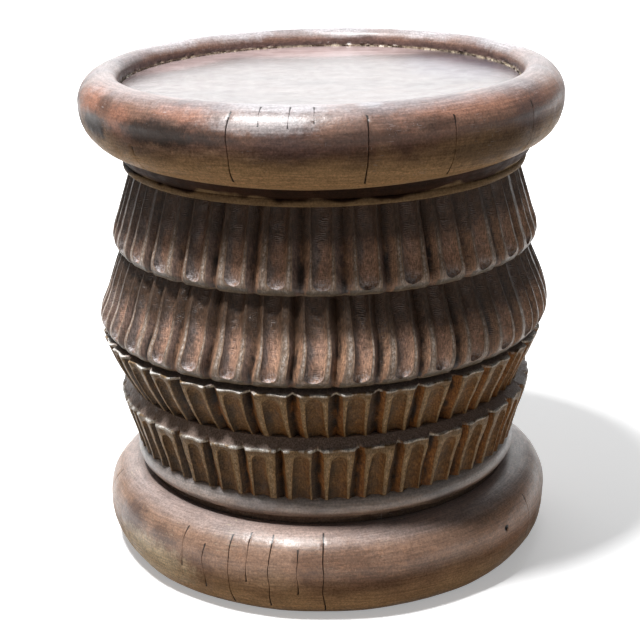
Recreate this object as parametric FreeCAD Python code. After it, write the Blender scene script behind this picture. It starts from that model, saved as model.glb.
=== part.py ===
import FreeCAD, Part
import math
import os

os.makedirs("parts", exist_ok=True)

# African drum table: a round, deep-rimmed top on four fluted tiers and a fat base ring.
# Lengths are millimetres. The origin is the centre of the footprint and +Z is up.
# The rings are threaded on a barrel of staves and stand on each other from the floor up.
# Each radius grows outwards from the barrel, and each height upwards from the floor.

# Barrel of flat staves. Its flats key the rings, whose bores have as many sides.
stave_count = 16
barrel_flat_radius = 180.0
stave_thickness = 34.0
fit_clearance = 0.3

# Base ring: a tall heel and a shoulder, each a quarter of an ellipse
base_wall = 59.8
base_heel_width = 27.0
base_heel_height = 49.4
base_shoulder_width = 37.5
base_shoulder_height = 38.6
base_ledge_height = 40.0
base_ledge_setback = 4.0

# Foot collar: a bead that overhangs a shadow groove
foot_groove_wall = 17.0
foot_groove_height = 8.0
foot_bead_overhang = 8.0
foot_bead_height = 18.0
foot_bead_bulge = 3.5
foot_ledge_rise = 4.0
foot_ledge_width = 9.0

# Cup tiers, which flare upwards to a notched lip
lower_cup_height = 69.0
lower_cup_foot_wall = 24.0
lower_cup_flare = 17.0
lower_cup_lip_drop = 9.0
upper_cup_height = 56.0
upper_cup_foot_wall = 30.0
upper_cup_flare = 24.0
upper_cup_lip_drop = 5.0
upper_cup_ledge_width = 18.0

# Skirt tiers, which flare downwards to a rolled hem
lower_skirt_height = 90.0
lower_skirt_top_wall = 37.0
lower_skirt_flare = 18.0
lower_skirt_roll_height = 41.0
lower_skirt_belly = 3.5
lower_skirt_belly_height = 17.0
lower_skirt_hem_height = 5.0
lower_skirt_hem_tuck = 6.0
upper_skirt_height = 84.0
upper_skirt_top_wall = 24.5
upper_skirt_flare = 16.5
upper_skirt_roll_height = 25.0
upper_skirt_belly = 3.5
upper_skirt_belly_height = 11.0
upper_skirt_hem_height = 0.8
upper_skirt_hem_tuck = 3.5

# Flutes: gouge cuts that lift out short of the lip alternate with V cuts that run on.
# A cut's taper is how much shallower it is at the lip, so one below zero deepens there.
lower_cup_pair_count = 35
upper_cup_pair_count = 35
lower_skirt_pair_count = 35
upper_skirt_pair_count = 32
gouge_width = 19.0
gouge_depth = 5.5
gouge_taper = 1.5
gouge_exit_angle = 50.0
gouge_spread_angle = 66.0
gouge_facet_count = 3
gouge_lip_band = 7.0
vee_depth = 7.0
vee_half_angle = 45.0
cup_vee_taper = -2.0
skirt_vee_taper = 4.0
cut_overrun = 20.0

# Unevenness of hand work: depth in millimetres, drift as a share of a pair of flutes,
# and how fast each of the two comes and goes from one cut to the next
hand_depth = 0.6
hand_drift_share = 0.07
hand_depth_beat = 1.7
hand_drift_beat = 2.4

# Where the first flute of each tier stands, as a share of a pair of flutes
lower_cup_turn_share = -0.45
upper_cup_turn_share = 0.04
lower_skirt_turn_share = 0.0
upper_skirt_turn_share = -0.08

# Neck collar: a band that leans in to a thin lip
neck_height = 23.0
neck_lip_wall = 28.7
neck_lip_height = 3.5
neck_lean = 8.0

# Top rim: round belly, crown and recess edge, with a ledge for the panel
rim_ledge_width = 26.7
recess_edge_radius = 13.0
rim_crown_radius = 30.0
rim_belly_radius = 45.0
recess_depth = 18.0
panel_thickness = 23.0

# Hidden square pegs that pin the staves to the panel above and to the base ring below
peg_count = 4
peg_width = 14.0
peg_length = 44.0
peg_clearance = 0.2
peg_in_panel = 13.0
peg_in_base = 22.0

# How many flats a collar has, and how many straight bands make up each round stretch
collar_side_count = 84
heel_band_count = 3
shoulder_band_count = 3
belly_band_count = 4
crown_band_count = 3
edge_band_count = 2

# Radii and joint planes that follow from the sizes above
ring_bore = barrel_flat_radius + fit_clearance
barrel_bore = barrel_flat_radius - stave_thickness
base_radius = ring_bore + base_wall
foot_groove_radius = ring_bore + foot_groove_wall
foot_bead_radius = foot_groove_radius + foot_bead_overhang
lower_cup_foot = ring_bore + lower_cup_foot_wall
lower_cup_lip = lower_cup_foot + lower_cup_flare
upper_cup_foot = ring_bore + upper_cup_foot_wall
upper_cup_lip = upper_cup_foot + upper_cup_flare
upper_cup_seat = upper_cup_lip - upper_cup_ledge_width
lower_skirt_top = ring_bore + lower_skirt_top_wall
upper_skirt_top = ring_bore + upper_skirt_top_wall
neck_lip_radius = ring_bore + neck_lip_wall
recess_radius = ring_bore + rim_ledge_width
rim_crest = recess_radius + recess_edge_radius
rim_radius = rim_crest + rim_crown_radius
foot_z = base_heel_height + base_shoulder_height
lower_cup_z = foot_z + foot_groove_height + foot_bead_height + foot_ledge_rise
upper_cup_z = lower_cup_z + lower_cup_height
lower_skirt_z = upper_cup_z + upper_cup_height
upper_skirt_z = lower_skirt_z + lower_skirt_height
neck_z = upper_skirt_z + upper_skirt_height
rim_z = neck_z + neck_height
top_z = rim_z + rim_belly_radius + rim_crown_radius
panel_top_z = top_z - recess_depth
panel_z = panel_top_z - panel_thickness

AXIS = FreeCAD.Vector(0, 0, 1)
ORIGIN = FreeCAD.Vector(0, 0, 0)


def ring_points(flat_radius, height, sides, turn):
    """Corners of a regular polygon whose flats lie at a radius; a side faces the turn angle."""
    corner_radius = flat_radius / math.cos(math.pi / sides)
    corners = []
    for index in range(sides):
        angle = 2 * math.pi * (index + 0.5 + turn) / sides
        corners.append(FreeCAD.Vector(
            corner_radius * math.cos(angle), corner_radius * math.sin(angle), height))
    return corners


def closed_face(corners):
    return Part.Face(Part.makePolygon(corners + corners[:1]))


def skin(rings):
    """A solid with flat sides between rings of corners that match one by one."""
    faces = [closed_face(rings[0]), closed_face(rings[-1])]
    count = len(rings[0])
    for lower, upper in zip(rings, rings[1:]):
        for index in range(count):
            beside = (index + 1) % count
            faces.append(closed_face([lower[index], lower[beside], upper[beside], upper[index]]))
    return Part.Solid(Part.Shell(faces))


def many_sided(levels, sides, turn=0.0):
    """A solid of stacked polygons, given as radius and height, bottom first."""
    return skin([ring_points(radius, height, sides, turn) for radius, height in levels])


def bore(flat_radius, low_z, high_z):
    """The many-sided hole that a ring slides over the barrel with."""
    return many_sided([(flat_radius, low_z), (flat_radius, high_z)], stave_count)


def round_stretch(centre, width, height, start_angle, stop_angle, bands):
    """Points along part of an ellipse in the half-section, without its first point."""
    points = []
    for index in range(1, bands + 1):
        angle = math.radians(start_angle + (stop_angle - start_angle) * index / bands)
        points.append((centre[0] + width * math.cos(angle), centre[1] + height * math.sin(angle)))
    return points


def turned(outline):
    """Turns a half-section round the axis; it starts and ends on the axis."""
    corners = [FreeCAD.Vector(radius, 0, height) for radius, height in outline]
    return closed_face(corners).revolve(ORIGIN, AXIS, 360)


def round_the_axis(shape, count):
    """Copies a shape round the axis at even steps."""
    copies = []
    for index in range(count):
        copy = shape.copy()
        copy.rotate(ORIGIN, AXIS, 360 * index / count)
        copies.append(copy)
    return copies


def peg(low_z, clearance=0.0):
    """A square peg in the middle of a stave, or its hole when a clearance is given."""
    side = peg_width + 2 * clearance
    middle = barrel_flat_radius - stave_thickness / 2
    corner = FreeCAD.Vector(middle - side / 2, -side / 2, low_z - clearance)
    return Part.makeBox(side, side, peg_length + 2 * clearance, corner)


def top_peg_z():
    return panel_z + peg_in_panel - peg_length


def base_peg_z():
    return base_ledge_height - peg_in_base


def peg_holes(low_z):
    return round_the_axis(peg(low_z, peg_clearance), peg_count)


def side_frame(open_end, lip_end):
    """Start, direction, outward normal and length of a tier's slanting side."""
    start = FreeCAD.Vector(open_end[0], 0, open_end[1])
    along = FreeCAD.Vector(lip_end[0], 0, lip_end[1]) - start
    length = along.Length
    along.normalize()
    outward = FreeCAD.Vector(abs(along.z), 0, -along.x * math.copysign(1, along.z))
    return start, along, outward, length


def gouge_section():
    """Across and outward offsets of the gouge's sweep from its axis, facet by facet."""
    radius = ((gouge_width / 2) ** 2 + gouge_depth ** 2) / (2 * gouge_depth)
    spread = math.radians(gouge_spread_angle)
    section = [(radius * math.sin(spread), cut_overrun), (-radius * math.sin(spread), cut_overrun)]
    for index in range(gouge_facet_count + 1):
        angle = spread * (2 * index / gouge_facet_count - 1)
        section.append((radius * math.sin(angle), -radius * math.cos(angle)))
    return radius, section


def gouge_cut(open_end, lip_end):
    """A round-bottomed cut that lifts out of the wood before it reaches the lip."""
    start, along, outward, length = side_frame(open_end, lip_end)
    radius, section = gouge_section()
    lift = math.radians(gouge_exit_angle)
    axis_start = start + outward * (radius - gouge_depth - gouge_taper / 2)
    axis_stop = start + along * (length - gouge_lip_band)
    axis_stop = axis_stop + outward * (radius - gouge_depth + gouge_taper / 2)
    run = (axis_stop - axis_start).normalize()
    rise = (outward - run * outward.dot(run)).normalize()
    exit_run = run * math.cos(lift) + rise * math.sin(lift)
    exit_rise = rise * math.cos(lift) - run * math.sin(lift)
    setback = radius * (1 - math.cos(lift)) / math.sin(lift)
    corner = axis_stop - run * setback
    first = axis_start - run * cut_overrun
    last = corner + exit_run * 2 * cut_overrun
    mitre = math.tan(lift / 2)
    rings = [[], [], []]
    for across, out in section:
        side = FreeCAD.Vector(0, across, 0)
        rings[0].append(first + side + rise * out)
        rings[1].append(corner + side + rise * out - run * mitre * out)
        rings[2].append(last + side + exit_rise * out)
    return skin(rings)


def vee_cut(open_end, lip_end, taper):
    """A V-shaped cut along the whole side, shallower at the lip by the taper."""
    start, along, outward, length = side_frame(open_end, lip_end)
    root_start = start - outward * (vee_depth + taper / 2)
    root_stop = start + along * length - outward * (vee_depth - taper / 2)
    run = (root_stop - root_start).normalize()
    root = root_start - run * cut_overrun
    rise = outward * cut_overrun
    flank = FreeCAD.Vector(0, cut_overrun * math.tan(math.radians(vee_half_angle)), 0)
    mouth = [root, root + rise + flank, root + rise - flank]
    sweep = run * (length + 2 * cut_overrun)
    return skin([mouth, [corner + sweep for corner in mouth]])


def flute(ring, open_end, lip_end, vee_taper, pair_count, turn):
    """Cuts the flutes round a tier, with the small unevenness of hand work."""
    gouge = gouge_cut(open_end, lip_end)
    vee = vee_cut(open_end, lip_end, vee_taper)
    cuts = []
    for index in range(2 * pair_count):
        cut = (vee if index % 2 else gouge).copy()
        cut.translate(FreeCAD.Vector(hand_depth * math.sin(hand_depth_beat * index), 0, 0))
        drift = hand_drift_share / 2 * math.sin(hand_drift_beat * index)
        step = index / 2 + turn + drift
        cut.rotate(ORIGIN, AXIS, 360 * step / pair_count)
        cuts.append(cut)
    return ring.cut(cuts)


def base_ring():
    """The fat ring on the floor, with the ledge that the staves stand on."""
    heel = (base_radius - base_heel_width, base_heel_height)
    shoulder = (base_radius - base_shoulder_width, base_heel_height)
    outline = [(0, 0), (heel[0], 0)]
    outline += round_stretch(heel, base_heel_width, base_heel_height, -90, 0, heel_band_count)
    outline += round_stretch(
        shoulder, base_shoulder_width, base_shoulder_height, 0, 90, shoulder_band_count)
    outline += [(0, foot_z)]
    hollow = bore(barrel_bore + base_ledge_setback, 0, base_ledge_height)
    socket = bore(ring_bore, base_ledge_height, foot_z)
    return turned(outline).cut([hollow, socket] + peg_holes(base_peg_z()))


def collar(levels):
    """A plain ring over the barrel, with so many flats that it looks round."""
    low_z, high_z = levels[0][1], levels[-1][1]
    return many_sided(levels, collar_side_count).cut(bore(ring_bore, low_z, high_z))


def foot_collar():
    """The bead between the base ring and the lowest tier."""
    bead_z = foot_z + foot_groove_height
    bead_top_z = bead_z + foot_bead_height
    return collar([
        (foot_groove_radius, foot_z),
        (foot_groove_radius, bead_z),
        (foot_bead_radius, bead_z),
        (foot_bead_radius + foot_bead_bulge, bead_z + foot_bead_height / 2),
        (foot_bead_radius, bead_top_z),
        (foot_bead_radius - foot_ledge_width, lower_cup_z),
    ])


def cup_tier(low_z, height, foot_radius, lip_radius, lip_drop, seat_radius, pair_count, turn):
    """A fluted ring that flares upwards, with a sloping ledge behind its lip."""
    lip_z = low_z + height - lip_drop
    levels = [
        (foot_radius, low_z),
        (lip_radius, lip_z),
        (seat_radius, low_z + height),
    ]
    ring = many_sided(levels, pair_count, turn).cut(bore(ring_bore, low_z, low_z + height))
    return flute(ring, (foot_radius, low_z), (lip_radius, lip_z), cup_vee_taper, pair_count, turn)


def skirt_tier(
        low_z, height, top_radius, flare, roll_z, belly, belly_z, hem_z, tuck, seat, pair_count, turn):
    """A fluted ring that flares downwards to a rolled hem."""
    flare_radius = top_radius + flare
    lean = flare / (height - roll_z)
    levels = [
        (seat, low_z),
        (flare_radius - tuck, low_z + hem_z),
        (flare_radius + belly, low_z + belly_z),
        (flare_radius, low_z + roll_z),
        (top_radius, low_z + height),
    ]
    ring = many_sided(levels, pair_count, turn).cut(bore(ring_bore, low_z, low_z + height))
    hem = (flare_radius + lean * (roll_z - hem_z), low_z + hem_z)
    return flute(ring, (top_radius, low_z + height), hem, skirt_vee_taper, pair_count, turn)


def lower_cup_tier():
    return cup_tier(
        lower_cup_z, lower_cup_height, lower_cup_foot,
        lower_cup_lip, lower_cup_lip_drop, upper_cup_foot,
        lower_cup_pair_count, lower_cup_turn_share,
    )


def upper_cup_tier():
    return cup_tier(
        upper_cup_z, upper_cup_height, upper_cup_foot,
        upper_cup_lip, upper_cup_lip_drop, upper_cup_seat,
        upper_cup_pair_count, upper_cup_turn_share,
    )


def lower_skirt_tier():
    return skirt_tier(
        lower_skirt_z, lower_skirt_height, lower_skirt_top, lower_skirt_flare,
        lower_skirt_roll_height, lower_skirt_belly, lower_skirt_belly_height,
        lower_skirt_hem_height, lower_skirt_hem_tuck, upper_cup_seat,
        lower_skirt_pair_count, lower_skirt_turn_share,
    )


def upper_skirt_tier():
    return skirt_tier(
        upper_skirt_z, upper_skirt_height, upper_skirt_top, upper_skirt_flare,
        upper_skirt_roll_height, upper_skirt_belly, upper_skirt_belly_height,
        upper_skirt_hem_height, upper_skirt_hem_tuck, lower_skirt_top,
        upper_skirt_pair_count, upper_skirt_turn_share,
    )


def neck_collar():
    """The plain band under the rim."""
    return collar([
        (neck_lip_radius, neck_z),
        (neck_lip_radius, neck_z + neck_lip_height),
        (neck_lip_radius + neck_lean, rim_z),
    ])


def top_rim():
    """The fat rolled rim, with the recess and the ledge that the panel drops on."""
    widest_z = rim_z + rim_belly_radius
    belly = rim_radius - rim_belly_radius
    edge_z = top_z - recess_edge_radius
    outline = [(0, rim_z), (belly, rim_z)]
    outline += round_stretch(
        (belly, widest_z), rim_belly_radius, rim_belly_radius, -90, 0, belly_band_count)
    outline += round_stretch(
        (rim_crest, widest_z), rim_crown_radius, rim_crown_radius, 0, 90, crown_band_count)
    outline += round_stretch(
        (rim_crest, edge_z), recess_edge_radius, recess_edge_radius, 90, 180, edge_band_count)
    outline += [(recess_radius, panel_z), (0, panel_z)]
    return turned(outline).cut(bore(ring_bore, rim_z, panel_z))


def top_panel():
    """The round board that lies on the staves and the rim's ledge."""
    corner = FreeCAD.Vector(0, 0, panel_z)
    board = Part.makeCylinder(recess_radius - fit_clearance, panel_thickness, corner)
    return board.cut(peg_holes(top_peg_z()))


def barrel_staves():
    """Mitred staves that stand on the base ring's ledge and carry the panel."""
    foot = base_ledge_height
    mitre = math.tan(math.pi / stave_count)
    corners = []
    for radius, side in ((barrel_bore, -mitre), (barrel_flat_radius, -mitre),
                         (barrel_flat_radius, mitre), (barrel_bore, mitre)):
        corners.append(FreeCAD.Vector(radius, side * radius, foot))
    stave = closed_face(corners).extrude(AXIS * (panel_z - foot))
    holes = Part.makeCompound(peg_holes(top_peg_z()) + peg_holes(base_peg_z()))
    return Part.makeCompound([piece.cut(holes) for piece in round_the_axis(stave, stave_count)])


def top_pegs():
    return Part.makeCompound(round_the_axis(peg(top_peg_z()), peg_count))


def base_pegs():
    return Part.makeCompound(round_the_axis(peg(base_peg_z()), peg_count))


pieces = {
    "base_ring": base_ring,
    "foot_collar": foot_collar,
    "lower_cup_tier": lower_cup_tier,
    "upper_cup_tier": upper_cup_tier,
    "lower_skirt_tier": lower_skirt_tier,
    "upper_skirt_tier": upper_skirt_tier,
    "neck_collar": neck_collar,
    "top_rim": top_rim,
    "top_panel": top_panel,
    "barrel_staves": barrel_staves,
    "top_pegs": top_pegs,
    "base_pegs": base_pegs,
}

for name, make in pieces.items():
    shape = make()
    shape.exportStep("parts/" + name + ".step")
    print(name, "solids", len(shape.Solids), "valid", shape.isValid(), "volume", round(shape.Volume))
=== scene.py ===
"""An African drum table of carved hardwood: a deep-rimmed top on fluted tiers and a fat base ring."""
import logging
import math
import random
from dataclasses import dataclass, field
from enum import Enum

import bmesh
import bpy
from mathutils import Matrix, Vector, noise


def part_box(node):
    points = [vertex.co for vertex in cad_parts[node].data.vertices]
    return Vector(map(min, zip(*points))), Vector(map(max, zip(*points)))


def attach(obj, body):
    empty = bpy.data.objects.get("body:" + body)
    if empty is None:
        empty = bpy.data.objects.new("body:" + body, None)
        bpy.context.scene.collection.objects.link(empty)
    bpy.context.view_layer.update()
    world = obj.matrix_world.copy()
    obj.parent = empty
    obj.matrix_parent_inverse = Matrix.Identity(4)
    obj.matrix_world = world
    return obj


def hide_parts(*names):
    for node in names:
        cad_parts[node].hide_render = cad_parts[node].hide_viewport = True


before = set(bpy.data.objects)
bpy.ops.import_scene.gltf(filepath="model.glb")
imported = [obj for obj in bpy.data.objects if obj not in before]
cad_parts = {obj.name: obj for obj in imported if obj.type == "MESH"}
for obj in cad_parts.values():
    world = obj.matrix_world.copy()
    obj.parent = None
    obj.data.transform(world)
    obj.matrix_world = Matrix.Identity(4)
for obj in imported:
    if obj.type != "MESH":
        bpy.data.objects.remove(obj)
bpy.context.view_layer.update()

LOG = logging.getLogger("drum_table")

MM = 0.001
FRONT = 1.5 * math.pi
GOUGE_STEPS = 12
VEE_STEPS = 8
LAND_STEPS = 2
PAIR_STEPS = GOUGE_STEPS + VEE_STEPS + 2 * LAND_STEPS
TURN_STEPS = 32 * PAIR_STEPS
HIDDEN_BORE = 184.0
INNER_SKIN = HIDDEN_BORE + 2
MERGE_DISTANCE = 0.00001
CREASE = math.radians(30)

Point = tuple[float, float]
Triple = tuple[float, float, float]
Tone = tuple[int, int, int]
Socket = bpy.types.NodeSocket


class Slot(Enum):
    """The record's material slots of the pieces that are carved here."""

    RIM = "rim_hardwood"
    PANEL = "panel_hardwood"
    COLLAR = "collar_hardwood"
    CUP = "cup_hardwood"
    SKIRT = "skirt_hardwood"
    BASE = "base_hardwood"


class Flare(Enum):
    """Which end of a fluted tier is the wide one, with its lip or hem."""

    UP = 1
    DOWN = -1


def blend(first: float, last: float, share: float) -> float:
    """Value between first and last, with the share held between 0 and 1."""
    share = min(1.0, max(0.0, share))
    return first + (last - first) * share


def ease(share: float) -> float:
    """Smooth step from 0 to 1."""
    share = min(1.0, max(0.0, share))
    return share * share * (3.0 - 2.0 * share)


def arc(centre: Point, reach: Point, start: float, stop: float, steps: int,
        full: float = 2.0) -> list[Point]:
    """Points along a quarter or part of an ellipse in the half-section.

    Args:
        centre: Radius and height of the middle, in millimetres.
        reach: Half width and half height of the ellipse.
        start: First angle in degrees, from the outward direction.
        stop: Last angle in degrees.
        steps: How many straight steps stand for the stretch.
        full: Exponent of the ellipse; above 2 it is fuller than a true one.

    Returns:
        The points, the first and last among them.
    """
    points = []
    for index in range(steps + 1):
        angle = math.radians(blend(start, stop, index / steps))
        out, rise = (
            math.copysign(abs(share) ** (2 / full), share)
            for share in (math.cos(angle), math.sin(angle))
        )
        points.append((centre[0] + reach[0] * out, centre[1] + reach[1] * rise))
    return points


def run(first: Point, last: Point, pitch: float) -> list[Point]:
    """Points between two corners, both left out.

    Args:
        first: Radius and height of the first corner, in millimetres.
        last: Radius and height of the last corner.
        pitch: How far apart the points may be.

    Returns:
        The points in order.
    """
    steps = max(1, math.ceil(math.dist(first, last) / pitch))
    return [
        (blend(first[0], last[0], index / steps), blend(first[1], last[1], index / steps))
        for index in range(1, steps)
    ]


@dataclass(frozen=True)
class FairCurve:
    """A radius that changes smoothly with height through a few knots.

    Attributes:
        knots: Height, radius and slope at each knot, lowest first, in millimetres.
    """

    knots: tuple[Triple, ...]

    def radius(self, height: float) -> float:
        """Radius at a height; past the ends the curve runs on straight.

        Args:
            height: Height in millimetres.

        Returns:
            The radius in millimetres.
        """
        low_z, low_r, slope = self.knots[0]
        if height <= low_z:
            return low_r + slope * (height - low_z)
        for (z0, r0, m0), (z1, r1, m1) in zip(self.knots, self.knots[1:]):
            if height <= z1:
                span = z1 - z0
                t = (height - z0) / span
                return (
                    (2 * t**3 - 3 * t**2 + 1) * r0 + (t**3 - 2 * t**2 + t) * span * m0
                    + (3 * t**2 - 2 * t**3) * r1 + (t**3 - t**2) * span * m1
                )
        high_z, high_r, slope = self.knots[-1]
        return high_r + slope * (height - high_z)


def linear(tone: Tone) -> tuple[float, float, float, float]:
    """Linear colour of a tone that is given as it looks on a screen, 0 to 255."""
    parts = [part / 255 for part in tone]
    return (*(((part + 0.055) / 1.055) ** 2.4 for part in parts), 1.0)


class NodeSheet:
    """The nodes of one material, with short ways to add a pattern and join it on."""

    def __init__(self, name: str) -> None:
        """Starts a material with its shader and the place of each point.

        Args:
            name: Name of the material.
        """
        self.material = bpy.data.materials.new(name)
        self.material.use_nodes = True
        self.tree = self.material.node_tree
        self.shader = self.tree.nodes["Principled BSDF"]
        self.place = self.add("ShaderNodeTexCoord").outputs["Object"]

    def add(self, kind: str, **settings: object) -> bpy.types.Node:
        """Adds a node.

        Args:
            kind: Type of the node.
            settings: Its options and their values.

        Returns:
            The node.
        """
        node = self.tree.nodes.new(kind)
        for name, value in settings.items():
            setattr(node, name, value)
        return node

    def feed(self, socket: Socket, value: object) -> None:
        """Joins a socket to an output, or sets it to a plain value.

        Args:
            socket: The input that is fed.
            value: An output of another node, or the plain value.
        """
        if isinstance(value, bpy.types.NodeSocket):
            self.tree.links.new(value, socket)
        else:
            socket.default_value = value

    def mark(self, name: str) -> Socket:
        """The mark that the carving left on each point."""
        return self.add("ShaderNodeAttribute", attribute_name=name).outputs["Fac"]

    def calc(self, operation: str, *values: object) -> Socket:
        """One step of arithmetic.

        Args:
            operation: What is done, as the math node names it.
            values: What it is done with, outputs or plain numbers.

        Returns:
            The result.
        """
        node = self.add("ShaderNodeMath", operation=operation)
        for socket, value in zip(node.inputs, values):
            self.feed(socket, value)
        return node.outputs[0]

    def times(self, first: object, last: object) -> Socket:
        """Product of two values."""
        return self.calc("MULTIPLY", first, last)

    def swing(self, cloud: Socket, reach: float, base: Socket) -> Socket:
        """A value that a noise moves up and down, by the reach from its least to its most."""
        return self.calc("MULTIPLY_ADD", self.calc("SUBTRACT", cloud, 0.5), reach, base)

    def length(self, source: Socket) -> Socket:
        """Length of a vector."""
        node = self.add("ShaderNodeVectorMath", operation="LENGTH")
        self.feed(node.inputs[0], source)
        return node.outputs["Value"]

    def dress(self, values: dict[str, object]) -> bpy.types.Material:
        """Feeds the shader's inputs by their names and hands over the material."""
        for name, value in values.items():
            self.feed(self.shader.inputs[name], value)
        return self.material

    def fade(self, value: Socket, low: float, high: float, first: float = 0.0,
             last: float = 1.0) -> Socket:
        """Goes smoothly from first to last while the value goes from low to high.

        Args:
            value: What it follows.
            low: The value at which the change starts, which may be above high.
            high: The value at which it is complete.
            first: The result before the change.
            last: The result after it.

        Returns:
            The result.
        """
        node = self.add("ShaderNodeMapRange", interpolation_type="SMOOTHSTEP")
        for socket, part in zip(node.inputs, (value, low, high, first, last)):
            self.feed(socket, part)
        return node.outputs["Result"]

    def mapped(self, stretch: Triple, shift: float = 0.0, source: Socket | None = None) -> Socket:
        """Scales and shifts the place that a pattern is read at.

        Args:
            stretch: Scale along X, Y and Z.
            shift: Shift along all three.
            source: The place before that, when not the object's own.

        Returns:
            The new place.
        """
        node = self.add("ShaderNodeMapping")
        self.feed(node.inputs["Vector"], source or self.place)
        self.feed(node.inputs["Location"], (shift, shift, shift))
        self.feed(node.inputs["Scale"], stretch)
        return node.outputs["Vector"]

    def mottle(self, size: float, detail: float = 2.0, along: Triple = (1, 1, 1), shift: float = 0.0,
               source: Socket | None = None, rough: float = 0.55, twist: float = 0.0) -> Socket:
        """Cloudy noise.

        Args:
            size: Size of its clouds in millimetres.
            detail: How many finer layers it has.
            along: How many times longer the clouds are along X, Y and Z.
            shift: Where in the pattern it starts.
            source: The place it is read at, when not the object's own.
            rough: Strength of the finer layers.
            twist: How much the clouds swirl.

        Returns:
            The noise, about 0.5 in the middle.
        """
        node = self.add("ShaderNodeTexNoise")
        stretch = tuple(1 / (size * MM * longer) for longer in along)
        self.feed(node.inputs["Vector"], self.mapped(stretch, shift, source))
        self.feed(node.inputs["Scale"], 1.0)
        self.feed(node.inputs["Detail"], detail)
        self.feed(node.inputs["Roughness"], rough)
        self.feed(node.inputs["Distortion"], twist)
        return node.outputs["Fac"]

    def mix(self, share: object, first: object, last: object) -> Socket:
        """Mixes two tones.

        Args:
            share: Share of the last one, from 0 to 1.
            first: A colour, or a tone as it looks on a screen.
            last: The same for the other one.

        Returns:
            The mixed colour.
        """
        node = self.add("ShaderNodeMix", data_type="RGBA")
        self.feed(node.inputs[0], share)
        for socket, value in ((node.inputs[6], first), (node.inputs[7], last)):
            self.feed(socket, value if isinstance(value, bpy.types.NodeSocket) else linear(value))
        return node.outputs[2]

    def lighten(self, colour: Socket, amount: Socket) -> Socket:
        """Multiplies a colour by an amount that varies over the surface.

        Args:
            colour: The colour.
            amount: What it is multiplied by, 1 leaving it as it is.

        Returns:
            The lighter or darker colour.
        """
        node = self.add("ShaderNodeVectorMath", operation="SCALE")
        self.feed(node.inputs[0], colour)
        self.feed(node.inputs["Scale"], amount)
        return node.outputs[0]

    def ring_place(self, slow: float = 0.06) -> Socket:
        """A place whose patterns run round the ring: fine across it and slow along it.

        Args:
            slow: How fast a pattern changes along the ring, as a share of across it.

        Returns:
            The place.
        """
        split = self.add("ShaderNodeSeparateXYZ")
        self.feed(split.inputs[0], self.place)
        x, y, z = split.outputs
        flat = self.calc("SQRT", self.calc("ADD", self.times(x, x), self.times(y, y)))
        join = self.add("ShaderNodeCombineXYZ")
        self.feed(join.inputs[0], self.calc("MULTIPLY_ADD", x, slow, flat))
        self.feed(join.inputs[1], self.calc("MULTIPLY_ADD", y, slow, z))
        self.feed(join.inputs[2], self.times(self.calc("SUBTRACT", x, y), slow))
        return join.outputs[0]

    def height(self) -> Socket:
        """Height above the floor in metres."""
        split = self.add("ShaderNodeSeparateXYZ")
        self.feed(split.inputs[0], self.place)
        return split.outputs["Z"]

    def radius(self) -> Socket:
        """Distance from the axis in metres."""
        flat = self.add("ShaderNodeVectorMath", operation="MULTIPLY")
        self.feed(flat.inputs[0], self.place)
        self.feed(flat.inputs[1], (1.0, 1.0, 0.0))
        return self.length(flat.outputs[0])

    def spot(self, spot: "Spot", ragged: Socket) -> Socket:
        """A mask that lies on a spot and fades out with a ragged edge.

        Args:
            spot: The spot.
            ragged: The noise that makes its edge uneven.

        Returns:
            The mask, which is the spot's strength inside and 0 outside.
        """
        node = self.add("ShaderNodeMapping", vector_type="TEXTURE")
        angle = FRONT + math.radians(spot.azimuth)
        x, y = spot.radius * math.cos(angle), spot.radius * math.sin(angle)
        self.feed(node.inputs["Vector"], self.place)
        self.feed(node.inputs["Location"], (x * MM, y * MM, spot.height * MM))
        self.feed(node.inputs["Rotation"], (0.0, 0.0, angle))
        self.feed(node.inputs["Scale"], (spot.across * MM, spot.along * MM, spot.rise * MM))
        edge = self.swing(ragged, spot.ragged, self.length(node.outputs["Vector"]))
        return self.fade(edge, 1.2, 0.4, 0.0, spot.strength)

    def bump(self, height: Socket, depth: float, before: Socket | None = None) -> Socket:
        """Adds relief that is too fine for the mesh.

        Args:
            height: The pattern, which is 1 where the surface is highest.
            depth: How far it stands out there, in millimetres.
            before: The normal that earlier relief has bent.

        Returns:
            The bent normal.
        """
        node = self.add("ShaderNodeBump")
        self.feed(node.inputs["Height"], height)
        self.feed(node.inputs["Distance"], depth * MM)
        if before:
            self.feed(node.inputs["Normal"], before)
        return node.outputs["Normal"]


@dataclass(frozen=True)
class Spot:
    """A patch of another tone at one place on a ring, with sizes in millimetres.

    Attributes:
        azimuth: Degrees from the front, positive towards +X.
        height: Height of its middle.
        radius: Distance of its middle from the axis.
        along: Half its length round the ring.
        rise: Half its height.
        across: Half its reach in and out.
        strength: How strong it is, from 0 to 1.
        ragged: How uneven its edge is.
    """

    azimuth: float
    height: float
    radius: float
    along: float
    rise: float
    across: float = 40.0
    strength: float = 1.0
    ragged: float = 1.6


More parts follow.
